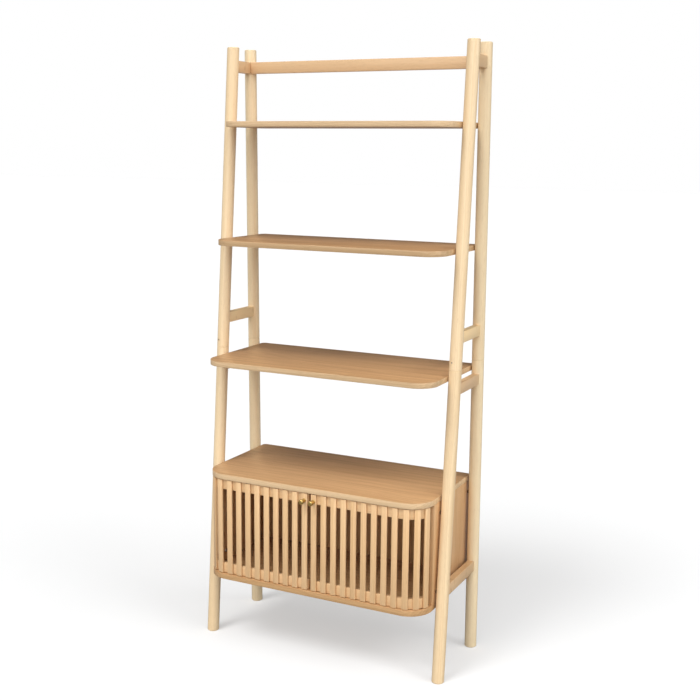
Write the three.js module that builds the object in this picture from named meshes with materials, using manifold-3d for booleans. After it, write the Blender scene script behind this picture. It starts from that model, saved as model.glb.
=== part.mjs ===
// Ladder shelf with a slatted two-door cabinet.
//
// Two A-shaped side ladders of round poles carry three open shelves, a long top rail and a
// closed cabinet. The cabinet's two doors are rows of upright slats on curved rails, and
// turn on steel pins in the cabinet's top and bottom boards.
//
// Units are millimetres, +Z is up, the doors face -Y and +X is the right-hand side. The
// origin is on the floor, in the middle of the overall width and depth.

import * as THREE from 'three';
import { mergeVertices } from 'three/addons/utils/BufferGeometryUtils.js';
import Module from 'manifold-3d';

const wasm = await Module();
wasm.setup();

// ---------------------------------------------------------------- driving dimensions

const HEIGHT = 1800;
const WIDTH = 802;
const DEPTH = 384;

const GAP = 0.3; // between two pieces that touch
const ARRIS = 1.0; // rounding on every board and rail edge
const OVERSHOOT = 1; // how far a cutting shape runs past the face that it cuts

const POLE_DIAMETER = 36;
const FOOT_SPREAD = 268; // from the front pole's centre to the rear pole's, on the floor
const FRONT_POLE_LEAN = 148; // how far the front pole's top stands behind its foot
const REAR_POLE_LEAN = 22; // how far the rear pole's top stands in front of its foot
const POLE_SEAM_HEIGHT = HEIGHT / 2;
const POLE_END_CHAMFER = 2;
const SPIGOT_DIAMETER = 18; // turned on the lower pole, glued into the upper pole
const SPIGOT_LENGTH = 40;
const SPIGOT_END_ROOM = 2; // above the spigot, in the bore
const LOCK_SCREW_HOLE = 6; // diameter, through the upper pole's wall into the spigot
const LOCK_SCREW_RISE = 22; // above the seam
const LOCK_SCREW_TURN = 22; // degrees, from straight out towards the left

const RAIL_THICKNESS = 20;
const RAIL_HEIGHT = 32;
const TOP_RAIL_HEIGHT = 34;
const TOP_RAIL_TOP = 1762;
const MIDDLE_RAIL_TOP = 1005;
const SHELF_RAIL_TOP = 860;
const BOTTOM_RAIL_TOP = 282;

const SHELF_THICKNESS = 16;
const SHELF_CORNER_RADIUS = 60;
const REAR_CORNER_RADIUS = 12;
const REAR_EDGE = DEPTH / 2 - 2; // y of every shelf's rear edge, and of the cabinet's

const CABINET_TOP = 543;
const CABINET_BOTTOM = 212;
const CABINET_FRONT = -170;
const CABINET_WIDTH = 723;
const CABINET_CORNER_RADIUS = 72;
const CABINET_BOARD = 17; // top and bottom boards
const CABINET_SIDE = 15;
const CABINET_BACK = 8;
const BACK_INSET = 4;

const DOOR_GAP = 2; // above and below the doors
const SLAT_WIDTH = 17.5;
const SLAT_THICKNESS = 5.5;
const SLAT_PITCH = 32;
const SLAT_SETBACK = 2; // behind the edge of the boards
const FIRST_SLAT = 15; // centre line of the slat nearest the middle
const FLAT_SLATS = 9;
const CURVED_SLAT_ANGLES = [13, 40, 67]; // degrees round the corner
const DOOR_RAIL_THICKNESS = 14;
const DOOR_RAIL_HEIGHT = 30;
const DOOR_RAIL_START = 4.5; // from the middle of the cabinet
const DOOR_RAIL_END_ANGLE = 78;

const PIN_DIAMETER = 6;
const PIN_ANGLE = 62; // place of the hinge pins round the corner
const PIN_IN_RAIL = 12;
const PIN_IN_BOARD = 8;
const PIN_CLEARANCE = 0.15;

const KNOB_DIAMETER = 15;
const KNOB_BASE_DIAMETER = 12;
const KNOB_WAIST_DIAMETER = 9;
const KNOB_PROJECTION = 23;
const KNOB_BASE_THICKNESS = 2;
const KNOB_HEAD_THICKNESS = 8;
const KNOB_DOME = 3; // height of the head's rounded end
const KNOB_DROP = 21; // below the top of the slats
const KNOB_STUD_DIAMETER = 4;

const CATCH_WIDTH = 48;
const CATCH_DEPTH = 16;
const CATCH_HEIGHT = 12;
const CATCH_ROOM = 1.8; // between the catch and the doors' rails, for the strike plates

// ---------------------------------------------------------------- worked-out dimensions

const POLE_RADIUS = POLE_DIAMETER / 2;
const POLE_X = WIDTH / 2 - POLE_RADIUS;
const REAR_FOOT_Y = DEPTH / 2 - POLE_RADIUS;
const FRONT_FOOT_Y = REAR_FOOT_Y - FOOT_SPREAD;
const FRONT_POLE = { footY: FRONT_FOOT_Y, topY: FRONT_FOOT_Y + FRONT_POLE_LEAN };
const REAR_POLE = { footY: REAR_FOOT_Y, topY: REAR_FOOT_Y - REAR_POLE_LEAN };

const SHELVES = [
  { name: 'top_shelf', top: 1580, front: -61 },
  { name: 'middle_shelf', top: 1235, front: -110 },
  { name: 'lower_shelf', top: 882, front: -160 },
];
const SHELF_HALF_WIDTH = POLE_X - POLE_RADIUS - GAP;

const CABINET_HALF = CABINET_WIDTH / 2;
const CORNER_X = CABINET_HALF - CABINET_CORNER_RADIUS; // centre of the corner's arc
const CORNER_Y = CABINET_FRONT + CABINET_CORNER_RADIUS;
const INSIDE_TOP = CABINET_TOP - CABINET_BOARD;
const INSIDE_BOTTOM = CABINET_BOTTOM + CABINET_BOARD;
const DOOR_TOP = INSIDE_TOP - DOOR_GAP;
const DOOR_BOTTOM = INSIDE_BOTTOM + DOOR_GAP;
const SLAT_FACE_RADIUS = CABINET_CORNER_RADIUS - SLAT_SETBACK;
const RAIL_FACE_RADIUS = SLAT_FACE_RADIUS - SLAT_THICKNESS - GAP;
const RAIL_BACK_RADIUS = RAIL_FACE_RADIUS - DOOR_RAIL_THICKNESS;
const PIN_ARC_RADIUS = (RAIL_FACE_RADIUS + RAIL_BACK_RADIUS) / 2;
const PIN_X = CORNER_X + PIN_ARC_RADIUS * Math.sin(radians(PIN_ANGLE));
const PIN_Y = CORNER_Y - PIN_ARC_RADIUS * Math.cos(radians(PIN_ANGLE));
const KNOB_HEIGHT = DOOR_TOP - KNOB_DROP;
const STUD_LENGTH = SLAT_THICKNESS + DOOR_RAIL_THICKNESS / 2;

// ---------------------------------------------------------------- materials

const poleWood = { color: 0xe6c795, roughness: 0.5, metalness: 0 };
const railWood = { color: 0xd9b283, roughness: 0.55, metalness: 0 };
const boardWood = { color: 0xc29a6c, roughness: 0.45, metalness: 0 };
const slatWood = { color: 0xe4c08f, roughness: 0.5, metalness: 0 };
const brass = { color: 0xb8963f, roughness: 0.3, metalness: 1 };
const steel = { color: 0xb4b4b8, roughness: 0.35, metalness: 1 };
const catchPlastic = { color: 0xb9996d, roughness: 0.5, metalness: 0 };

// ---------------------------------------------------------------- small helpers

function radians(degrees) {
  return (degrees * Math.PI) / 180;
}

function toSolid(geometry) {
  const bare = geometry.index ? geometry.toNonIndexed() : geometry.clone();
  bare.deleteAttribute('normal');
  bare.deleteAttribute('uv');
  const merged = mergeVertices(bare, 1e-4);
  return new wasm.Manifold(new wasm.Mesh({
    numProp: 3,
    vertProperties: new Float32Array(merged.attributes.position.array),
    triVerts: new Uint32Array(merged.index.array),
  }));
}

function toGeometry(solid) {
  const mesh = solid.getMesh();
  const geometry = new THREE.BufferGeometry();
  geometry.setAttribute('position', new THREE.BufferAttribute(mesh.vertProperties, 3));
  geometry.setIndex(new THREE.BufferAttribute(mesh.triVerts, 1));
  geometry.computeVertexNormals();
  return geometry;
}

function cutAway(geometry, cutters) {
  let solid = toSolid(geometry);
  for (const cutter of cutters) {
    solid = solid.subtract(toSolid(cutter));
  }
  return toGeometry(solid);
}

function uprightCylinder(radius, bottom, top, x, y, sides = 32) {
  const cylinder = new THREE.CylinderGeometry(radius, radius, top - bottom, sides);
  cylinder.rotateX(Math.PI / 2);
  return cylinder.translate(x, y, (top + bottom) / 2);
}

// A board or bar with softened long edges: an outline in X and Y, raised in Z.
function board(outline, bottom, top) {
  const geometry = new THREE.ExtrudeGeometry(outline, {
    depth: top - bottom - 2 * ARRIS,
    bevelEnabled: true,
    bevelSize: ARRIS,
    bevelOffset: -ARRIS,
    bevelThickness: ARRIS,
    bevelSegments: 2,
    curveSegments: 14,
  });
  return geometry.translate(0, 0, bottom + ARRIS);
}

function rectangle(left, front, right, rear) {
  const outline = new THREE.Shape();
  outline.moveTo(left, front);
  outline.lineTo(right, front);
  outline.lineTo(right, rear);
  outline.lineTo(left, rear);
  outline.closePath();
  return outline;
}

// Rectangle with two large round corners at the front and two small ones at the rear.
function shelfOutline(halfWidth, front, rear, frontRadius) {
  const outline = new THREE.Shape();
  const side = halfWidth - frontRadius;
  const rearSide = halfWidth - REAR_CORNER_RADIUS;
  outline.moveTo(-side, front);
  outline.lineTo(side, front);
  outline.absarc(side, front + frontRadius, frontRadius, -Math.PI / 2, 0, false);
  outline.lineTo(halfWidth, rear - REAR_CORNER_RADIUS);
  outline.absarc(rearSide, rear - REAR_CORNER_RADIUS, REAR_CORNER_RADIUS, 0, Math.PI / 2, false);
  outline.lineTo(-rearSide, rear);
  outline.absarc(-rearSide, rear - REAR_CORNER_RADIUS, REAR_CORNER_RADIUS, Math.PI / 2, Math.PI, false);
  outline.lineTo(-halfWidth, front + frontRadius);
  outline.absarc(-side, front + frontRadius, frontRadius, Math.PI, 1.5 * Math.PI, false);
  return outline;
}

const shelf = new THREE.Group();
shelf.name = 'ladder_shelf';

function addPiece(name, geometry, finish) {
  const piece = new THREE.Mesh(geometry, new THREE.MeshStandardMaterial(finish));
  piece.name = name;
  shelf.add(piece);
  return piece;
}

// ---------------------------------------------------------------- leaning poles

// Where a pole's centre line is at a given height.
function poleY(pole, height) {
  return pole.footY + ((pole.topY - pole.footY) * height) / HEIGHT;
}

// Leans an upright shape so that it follows the pole, while its ends stay level.
function leanWithPole(geometry, pole, x) {
  const lean = (pole.topY - pole.footY) / HEIGHT;
  const shear = new THREE.Matrix4().set(1, 0, 0, x, 0, 1, lean, pole.footY, 0, 0, 1, 0, 0, 0, 0, 1);
  return geometry.applyMatrix4(shear);
}

function turned(profile) {
  const points = profile.map(([radius, height]) => new THREE.Vector2(radius, height));
  return new THREE.LatheGeometry(points, 48).rotateX(Math.PI / 2);
}

function lowerPole(pole, x) {
  const seam = POLE_SEAM_HEIGHT - GAP / 2;
  const spigot = SPIGOT_DIAMETER / 2;
  const spigotTop = seam + SPIGOT_LENGTH;
  const geometry = turned([
    [0, 0],
    [POLE_RADIUS - POLE_END_CHAMFER, 0],
    [POLE_RADIUS, POLE_END_CHAMFER],
    [POLE_RADIUS, seam - ARRIS],
    [POLE_RADIUS - ARRIS, seam],
    [spigot, seam],
    [spigot, spigotTop - ARRIS],
    [spigot - ARRIS, spigotTop],
    [0, spigotTop],
  ]);
  return leanWithPole(geometry, pole, x);
}

function upperPole(pole, x) {
  const seam = POLE_SEAM_HEIGHT + GAP / 2;
  const bore = SPIGOT_DIAMETER / 2 + GAP;
  const boreTop = seam + SPIGOT_LENGTH + SPIGOT_END_ROOM;
  const geometry = turned([
    [0, boreTop],
    [bore, boreTop],
    [bore, seam],
    [POLE_RADIUS - ARRIS, seam],
    [POLE_RADIUS, seam + ARRIS],
    [POLE_RADIUS, HEIGHT - POLE_END_CHAMFER],
    [POLE_RADIUS - POLE_END_CHAMFER, HEIGHT],
    [0, HEIGHT],
  ]);
  leanWithPole(geometry, pole, x);
  // Screw hole for locking the spigot. Left and right ladders are the same part, so on both
  // the hole looks to the left, out of the front pole's front and the rear pole's rear.
  const outward = pole === FRONT_POLE ? -1 : 1;
  const turn = radians(LOCK_SCREW_TURN);
  const height = POLE_SEAM_HEIGHT + LOCK_SCREW_RISE;
  const inner = bore - OVERSHOOT;
  const outer = POLE_RADIUS + OVERSHOOT;
  const reach = (inner + outer) / 2;
  const hole = new THREE.CylinderGeometry(LOCK_SCREW_HOLE / 2, LOCK_SCREW_HOLE / 2, outer - inner, 16);
  hole.rotateZ(outward * turn);
  hole.translate(
    x - reach * Math.sin(turn),
    poleY(pole, height) + outward * reach * Math.cos(turn),
    height,
  );
  return cutAway(geometry, [hole]);
}

// ---------------------------------------------------------------- rails of the ladders

function poleCutter(pole, x, bottom, top) {
  const cylinder = uprightCylinder(POLE_RADIUS + GAP, bottom - OVERSHOOT, top + OVERSHOOT, 0, 0, 48);
  return leanWithPole(cylinder, pole, x);
}

// A side rail runs between the front and the rear pole, its ends hollowed to fit them.
function sideRail(x, height, top) {
  const bottom = top - height;
  const half = RAIL_THICKNESS / 2;
  const front = poleY(FRONT_POLE, top);
  const rear = poleY(REAR_POLE, top);
  const bar = board(rectangle(x - half, front, x + half, rear), bottom, top);
  return cutAway(bar, [
    poleCutter(FRONT_POLE, x, bottom, top),
    poleCutter(REAR_POLE, x, bottom, top),
  ]);
}

// The long rail joins the two ladders at the top, level with the front of the rear poles.
function longRail() {
  const bottom = TOP_RAIL_TOP - TOP_RAIL_HEIGHT;
  const halfLength = POLE_X - RAIL_THICKNESS / 2 - GAP;
  const front = poleY(REAR_POLE, TOP_RAIL_TOP) - POLE_RADIUS;
  const outline = rectangle(-halfLength, front, halfLength, front + RAIL_THICKNESS);
  return cutAway(board(outline, bottom, TOP_RAIL_TOP), [
    poleCutter(REAR_POLE, -POLE_X, bottom, TOP_RAIL_TOP),
    poleCutter(REAR_POLE, POLE_X, bottom, TOP_RAIL_TOP),
  ]);
}

function buildLadder(side, sideName) {
  const x = side * POLE_X;
  addPiece(`front_pole_lower_${sideName}`, lowerPole(FRONT_POLE, x), poleWood);
  addPiece(`front_pole_upper_${sideName}`, upperPole(FRONT_POLE, x), poleWood);
  addPiece(`rear_pole_lower_${sideName}`, lowerPole(REAR_POLE, x), poleWood);
  addPiece(`rear_pole_upper_${sideName}`, upperPole(REAR_POLE, x), poleWood);
  addPiece(`top_side_rail_${sideName}`, sideRail(x, TOP_RAIL_HEIGHT, TOP_RAIL_TOP), railWood);
  addPiece(`middle_side_rail_${sideName}`, sideRail(x, RAIL_HEIGHT, MIDDLE_RAIL_TOP), railWood);
  addPiece(`shelf_side_rail_${sideName}`, sideRail(x, RAIL_HEIGHT, SHELF_RAIL_TOP), railWood);
  addPiece(`bottom_side_rail_${sideName}`, sideRail(x, RAIL_HEIGHT, BOTTOM_RAIL_TOP), railWood);
}

// ---------------------------------------------------------------- shelves

function buildShelves() {
  for (const { name, top, front } of SHELVES) {
    const outline = shelfOutline(SHELF_HALF_WIDTH, front, REAR_EDGE, SHELF_CORNER_RADIUS);
    addPiece(name, board(outline, top - SHELF_THICKNESS, top), boardWood);
  }
}

// ---------------------------------------------------------------- cabinet case

// Both boards have two blind holes for the hinge pins, in the face towards the doors.
function pinHoles(bottom, top) {
  const radius = PIN_DIAMETER / 2 + PIN_CLEARANCE;
  return [-1, 1].map((side) => uprightCylinder(radius, bottom, top, side * PIN_X, PIN_Y));
}

function buildCase() {
  const outline = shelfOutline(CABINET_HALF, CABINET_FRONT, REAR_EDGE, CABINET_CORNER_RADIUS);
  const holeDepth = PIN_IN_BOARD + GAP;
  const top = board(outline, INSIDE_TOP, CABINET_TOP);
  const bottom = board(outline, CABINET_BOTTOM, INSIDE_BOTTOM);
  const topHoles = pinHoles(INSIDE_TOP - OVERSHOOT, INSIDE_TOP + holeDepth);
  const bottomHoles = pinHoles(INSIDE_BOTTOM - holeDepth, INSIDE_BOTTOM + OVERSHOOT);
  addPiece('cabinet_top', cutAway(top, topHoles), boardWood);
  addPiece('cabinet_bottom', cutAway(bottom, bottomHoles), boardWood);

  const wallBottom = INSIDE_BOTTOM + GAP;
  const wallTop = INSIDE_TOP - GAP;
  for (const [side, sideName] of [[-1, 'left'], [1, 'right']]) {
    const inner = side * (CABINET_HALF - CABINET_SIDE);
    const outer = side * CABINET_HALF;
    const wall = rectangle(Math.min(inner, outer), CORNER_Y, Math.max(inner, outer), REAR_EDGE);
    addPiece(`cabinet_side_${sideName}`, board(wall, wallBottom, wallTop), boardWood);
  }

  const backHalf = CABINET_HALF - CABINET_SIDE - GAP;
  const backRear = REAR_EDGE - BACK_INSET;
  const back = rectangle(-backHalf, backRear - CABINET_BACK, backHalf, backRear);
  addPiece('cabinet_back', board(back, wallBottom, wallTop), boardWood);
}

function buildCatch() {
  const railBack = CABINET_FRONT + CABINET_CORNER_RADIUS - RAIL_BACK_RADIUS;
  const front = railBack + CATCH_ROOM;
  const top = INSIDE_TOP - GAP;
  const outline = rectangle(-CATCH_WIDTH / 2, front, CATCH_WIDTH / 2, front + CATCH_DEPTH);
  addPiece('door_catch', board(outline, top - CATCH_HEIGHT, top), catchPlastic);
}

// ---------------------------------------------------------------- doors

// Every door piece is drawn for the right-hand door and mirrored for the left-hand one.
function mirrored(geometry, side) {
  if (side > 0) {
    return geometry;
  }
  const flipped = geometry.index ? geometry.toNonIndexed() : geometry.clone();
  flipped.scale(-1, 1, 1);
  const corners = flipped.attributes.position;
  const order = Array.from({ length: corners.count }, (_, i) => i - (i % 3) + [0, 2, 1][i % 3]);
  flipped.setIndex(order);
  flipped.computeVertexNormals();
  return flipped;
}

// The rail runs straight along the front, then round the corner's arc.
function doorRailOutline() {
  const end = radians(DOOR_RAIL_END_ANGLE) - Math.PI / 2;
  const outline = new THREE.Shape();
  outline.moveTo(DOOR_RAIL_START, CORNER_Y - RAIL_FACE_RADIUS);
  outline.lineTo(CORNER_X, CORNER_Y - RAIL_FACE_RADIUS);
  outline.absarc(CORNER_X, CORNER_Y, RAIL_FACE_RADIUS, -Math.PI / 2, end, false);
  outline.absarc(CORNER_X, CORNER_Y, RAIL_BACK_RADIUS, end, -Math.PI / 2, true);
  outline.lineTo(DOOR_RAIL_START, CORNER_Y - RAIL_BACK_RADIUS);
  outline.closePath();
  return outline;
}

function knobStudHole(front, rear) {
  const radius = KNOB_STUD_DIAMETER / 2 + GAP;
  const hole = new THREE.CylinderGeometry(radius, radius, rear - front, 20);
  return hole.translate(FIRST_SLAT, (front + rear) / 2, KNOB_HEIGHT);
}

function doorRail(bottom, holes) {
  return cutAway(board(doorRailOutline(), bottom, bottom + DOOR_RAIL_HEIGHT), holes);
}

// Centre and turn of each slat, from the middle of the cabinet round to its side.
function slatPlaces() {
  const places = [];
  for (let i = 0; i < FLAT_SLATS; i += 1) {
    places.push({ x: FIRST_SLAT + i * SLAT_PITCH, y: CORNER_Y - SLAT_FACE_RADIUS, angle: 0 });
  }
  for (const degrees of CURVED_SLAT_ANGLES) {
    const angle = radians(degrees);
    places.push({
      x: CORNER_X + SLAT_FACE_RADIUS * Math.sin(angle),
      y: CORNER_Y - SLAT_FACE_RADIUS * Math.cos(angle),
      angle,
    });
  }
  return places;
}

function slat({ x, y, angle }) {
  const half = SLAT_WIDTH / 2;
  const bar = board(rectangle(-half, 0, half, SLAT_THICKNESS), DOOR_BOTTOM, DOOR_TOP);
  return bar.rotateZ(angle).translate(x, y, 0);
}

function knob() {
  const stud = KNOB_STUD_DIAMETER / 2;
  const base = KNOB_BASE_DIAMETER / 2;
  const waist = KNOB_WAIST_DIAMETER / 2;
  const head = KNOB_DIAMETER / 2;
  const headStart = KNOB_PROJECTION - KNOB_HEAD_THICKNESS;
  const waistHeight = (KNOB_BASE_THICKNESS + headStart) / 2;
  const profile = new THREE.Path();
  profile.moveTo(0, -STUD_LENGTH);
  profile.lineTo(stud, -STUD_LENGTH);
  profile.lineTo(stud, GAP);
  profile.lineTo(base, GAP);
  profile.lineTo(base, KNOB_BASE_THICKNESS);
  profile.quadraticCurveTo(waist, KNOB_BASE_THICKNESS, waist, waistHeight);
  profile.quadraticCurveTo(waist, headStart, head, headStart);
  profile.lineTo(head, KNOB_PROJECTION - KNOB_DOME);
  profile.quadraticCurveTo(head, KNOB_PROJECTION, 0, KNOB_PROJECTION);
  const geometry = new THREE.LatheGeometry(profile.getPoints(6), 28);
  geometry.rotateX(Math.PI);
  return geometry.translate(FIRST_SLAT, CORNER_Y - SLAT_FACE_RADIUS, KNOB_HEIGHT);
}

function hingePin(bottom, top) {
  return uprightCylinder(PIN_DIAMETER / 2, bottom, top, PIN_X, PIN_Y);
}

function buildDoor(side, sideName) {
  const face = CORNER_Y - SLAT_FACE_RADIUS;
  const holeRadius = PIN_DIAMETER / 2 + GAP;
  const lowerHoleTop = DOOR_BOTTOM + PIN_IN_RAIL + GAP;
  const upperHoleBottom = DOOR_TOP - PIN_IN_RAIL - GAP;
  const lowerPinHole = uprightCylinder(holeRadius, DOOR_BOTTOM - OVERSHOOT, lowerHoleTop, PIN_X, PIN_Y);
  const upperPinHole = uprightCylinder(holeRadius, upperHoleBottom, DOOR_TOP + OVERSHOOT, PIN_X, PIN_Y);
  const studHole = knobStudHole(face - OVERSHOOT, face + STUD_LENGTH + GAP);
  const addDoorPiece = (name, geometry, finish) => {
    addPiece(`${sideName}_door_${name}`, mirrored(geometry, side), finish);
  };

  addDoorPiece('bottom_rail', doorRail(DOOR_BOTTOM, [lowerPinHole]), railWood);
  addDoorPiece('top_rail', doorRail(DOOR_TOP - DOOR_RAIL_HEIGHT, [upperPinHole, studHole]), railWood);
  slatPlaces().forEach((place, index) => {
    const bar = slat(place);
    const drilled = index === 0 ? cutAway(bar, [studHole]) : bar;
    addDoorPiece(`slat_${String(index + 1).padStart(2, '0')}`, drilled, slatWood);
  });
  addDoorPiece('knob', knob(), brass);
  addDoorPiece('lower_pin', hingePin(INSIDE_BOTTOM - PIN_IN_BOARD, DOOR_BOTTOM + PIN_IN_RAIL), steel);
  addDoorPiece('upper_pin', hingePin(DOOR_TOP - PIN_IN_RAIL, INSIDE_TOP + PIN_IN_BOARD), steel);
}

// ---------------------------------------------------------------- the whole object

buildLadder(-1, 'left');
buildLadder(1, 'right');
addPiece('long_top_rail', longRail(), railWood);
buildShelves();
buildCase();
buildCatch();
buildDoor(-1, 'left');
buildDoor(1, 'right');

export default shelf;
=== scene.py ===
# %% [markdown]
# # Ladder shelf with a slatted cabinet
#
# The real thing is flat-pack oak furniture: two A-shaped ladders of turned poles, three
# veneered shelves and a low cabinet with two doors made of upright slats. Its exact shapes
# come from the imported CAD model, which this lesson loads and never moves. What is left to do
# here is everything the eye judges: timber with growth rings and pores, satin lacquer, turned
# brass, small screws and magnets, and the light of a plain studio.

import math

import bmesh
import bpy
from mathutils import Matrix, Vector


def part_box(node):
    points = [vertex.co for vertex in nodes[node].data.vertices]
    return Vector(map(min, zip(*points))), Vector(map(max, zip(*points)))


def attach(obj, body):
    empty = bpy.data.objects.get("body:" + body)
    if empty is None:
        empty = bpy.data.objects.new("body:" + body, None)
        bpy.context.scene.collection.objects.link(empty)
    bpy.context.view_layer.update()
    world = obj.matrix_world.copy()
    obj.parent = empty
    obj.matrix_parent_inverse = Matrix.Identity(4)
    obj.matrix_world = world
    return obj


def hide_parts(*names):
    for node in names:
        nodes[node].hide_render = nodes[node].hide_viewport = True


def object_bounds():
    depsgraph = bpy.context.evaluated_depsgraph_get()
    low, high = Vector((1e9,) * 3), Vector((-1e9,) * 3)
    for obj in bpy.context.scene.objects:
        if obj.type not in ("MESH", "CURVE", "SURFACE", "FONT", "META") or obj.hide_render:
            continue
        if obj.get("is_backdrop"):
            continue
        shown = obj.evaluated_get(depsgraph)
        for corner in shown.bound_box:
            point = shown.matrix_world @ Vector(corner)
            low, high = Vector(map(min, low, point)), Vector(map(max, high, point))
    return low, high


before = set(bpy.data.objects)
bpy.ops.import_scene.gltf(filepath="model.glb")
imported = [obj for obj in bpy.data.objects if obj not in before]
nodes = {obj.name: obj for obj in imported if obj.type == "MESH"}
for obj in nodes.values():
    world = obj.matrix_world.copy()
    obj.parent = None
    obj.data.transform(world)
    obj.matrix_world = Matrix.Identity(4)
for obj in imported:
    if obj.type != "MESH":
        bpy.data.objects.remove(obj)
cad_low, cad_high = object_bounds()
print("CAD pieces:", len(nodes), "box:", [round(v, 3) for v in (*cad_low, *cad_high)])

# %% [markdown]
# ## Smooth turned work, crisp joints
#
# A CAD mesh arrives as loose flat facets, so a round pole would shine like a cut gem. We could
# remodel every pole, but its shape is already right. Instead each piece gets modifiers, which
# change what is seen and leave the mesh alone. Weld joins the loose facets, and Edge Split
# keeps a crease wherever two faces meet at more than a set angle. Everything flatter than that
# is shaded as one smooth surface. Sawn boards and slats also get Bevel between the two, because
# a joiner takes the sharpness off every edge with sandpaper. Round work has none to take off.

# %% Shade the CAD pieces
WELD_DISTANCE = 0.00002
CREASE_ANGLE = math.radians(28)
EASED_EDGE = 0.0006
EASED_STEPS = 2
EASED_ABOVE = math.radians(50)
UNEASED = ("pin", "knob", "catch", "pole")


def ease_edges(piece):
    ease = piece.modifiers.new("eased edges", "BEVEL")
    ease.width = EASED_EDGE
    ease.segments = EASED_STEPS
    ease.limit_method = "ANGLE"
    ease.angle_limit = EASED_ABOVE


def shade_like_wood(piece):
    if "custom_normal" in piece.data.attributes:
        piece.data.attributes.remove(piece.data.attributes["custom_normal"])
    for face in piece.data.polygons:
        face.use_smooth = True
    weld = piece.modifiers.new("join facets", "WELD")
    weld.merge_threshold = WELD_DISTANCE
    if not any(word in piece.name for word in UNEASED):
        ease_edges(piece)
    crease = piece.modifiers.new("keep creases", "EDGE_SPLIT")
    crease.split_angle = CREASE_ANGLE


for piece in nodes.values():
    shade_like_wood(piece)
eased = [piece for piece in nodes.values() if "eased edges" in piece.modifiers]
print("shaded", len(nodes), "CAD pieces,", len(eased), "of them with eased edges")

# %% [markdown]
# ## Helpers for building shader nodes
#
# A finish is a small network of nodes. We could place and link every node by hand, but pages of
# that would hide what the finish does. A few short helpers keep the cells below readable. The
# first adds a node with its settings and feeds its inputs, either a plain value or a link.

# %% Add a node


def feed(tree, value, socket):
    if isinstance(value, bpy.types.NodeSocket):
        tree.links.new(value, socket)
    else:
        socket.default_value = value


def add_node(tree, kind, inputs=None, **settings):
    node = tree.nodes.new(kind)
    for name, value in settings.items():
        setattr(node, name, value)
    for name, value in (inputs or {}).items():
        feed(tree, value, node.inputs[name])
    return node


print("nodes can be added and fed")

# %% [markdown]
# Most nodes in a finish do one of four small jobs: a sum on plain values, a sum on vectors, a
# mix of two colours, or a fade from 0 to 1 between two values. Each gets a short name of its own.

# %% Sums, mixes and fades
MIX_SHARE = 0  # a Mix node has sockets for numbers and vectors too, so these say which are colours
MIX_FIRST = 6
MIX_SECOND = 7
MIX_RESULT = 2


def calculate(tree, operation, *values, clamp=False):
    inputs = dict(enumerate(values))
    return add_node(tree, "ShaderNodeMath", inputs, operation=operation, use_clamp=clamp).outputs[0]


def calculate_vector(tree, operation, first, second):
    inputs = {0: first, 1: second}
    return add_node(tree, "ShaderNodeVectorMath", inputs, operation=operation).outputs


def mix_colour(tree, share, first, second, blend="MIX"):
    inputs = {MIX_SHARE: share, MIX_FIRST: first, MIX_SECOND: second}
    node = add_node(tree, "ShaderNodeMix", inputs, data_type="RGBA", blend_type=blend)
    return node.outputs[MIX_RESULT]


def fade(tree, value, start, end):
    """0 below start, 1 above end, and a smooth step in between."""
    inputs = {"Value": value, "From Min": start, "From Max": end}
    return add_node(tree, "ShaderNodeMapRange", inputs, interpolation_type="SMOOTHSTEP").outputs[0]


print("sums, mixes and fades have names")

# %% [markdown]
# A node group is a recipe that several materials share. Its sockets are named like the knobs on
# a machine, and each material turns them to its own values. Groups here only work out colours
# and masks. The Principled BSDF, which is the surface itself, always stays in the material.

# %% Groups and finishes


def new_group(name, inputs, outputs):
    """inputs and outputs are {socket name: (socket kind, default)}."""
    group = bpy.data.node_groups.new(name, "ShaderNodeTree")
    for direction, sockets in (("INPUT", inputs), ("OUTPUT", outputs)):
        for socket_name, (kind, default) in sockets.items():
            socket = group.interface.new_socket(
                socket_name, in_out=direction, socket_type="NodeSocket" + kind)
            if default is not None:
                socket.default_value = default
    return group, group.nodes.new("NodeGroupInput").outputs, group.nodes.new("NodeGroupOutput").inputs


def use_group(tree, group, inputs=None):
    return add_node(tree, "ShaderNodeGroup", inputs, node_tree=group).outputs


def new_finish(name, **constants):
    """A material whose Principled BSDF has these constants on its own sockets."""
    finish = bpy.data.materials.new(name)
    finish.use_nodes = True
    tree = finish.node_tree
    shader = tree.nodes["Principled BSDF"]
    for socket, value in constants.items():
        shader.inputs[socket.replace("_", " ")].default_value = value
    return finish, tree, shader


def add_bump(tree, shader, height, strength, depth):
    """depth is how far the surface rises, in metres, where height is 1."""
    inputs = {"Height": height, "Strength": strength, "Distance": depth}
    bump = add_node(tree, "ShaderNodeBump", inputs)
    tree.links.new(bump.outputs[0], shader.inputs["Normal"])


print("groups and finishes can be started")

# %% [markdown]
# ## Timber as a solid figure
#
# In a real board the figure is a slice through the trunk: rings round the pith, streaked along
# the length by fibres and dotted with pores. We could stretch a noise texture over the surface,
# but its end grain would be wrong. So the next cells build the trunk itself. Its Vector runs
# along the grain in X, and every cut face, flat, round or end grain, then shows what the saw
# would show. Wood cells are long and thin, so all its noise is stretched along X.

# %% Noise along the fibres


def fibre_noise(tree, place, along, across, detail=2.0):
    """Noise with about this many cells per metre along the grain and across it."""
    stretched = calculate_vector(tree, "MULTIPLY", place, (along, across, across))
    inputs = {"Vector": stretched[0], "Scale": 1.0, "Detail": detail}
    return add_node(tree, "ShaderNodeTexNoise", inputs).outputs["Fac"]


print("noise can follow the grain")

# %% [markdown]
# A year's growth is pale in spring and darkens towards autumn, then stops at once. The distance
# from the pith, counted in ring widths, gives the years, and what is left over after the whole
# years says which season it is. The trunk is never straight, so its pith wanders a little on
# the way, and good and bad years make rings that are not equally wide.

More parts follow.
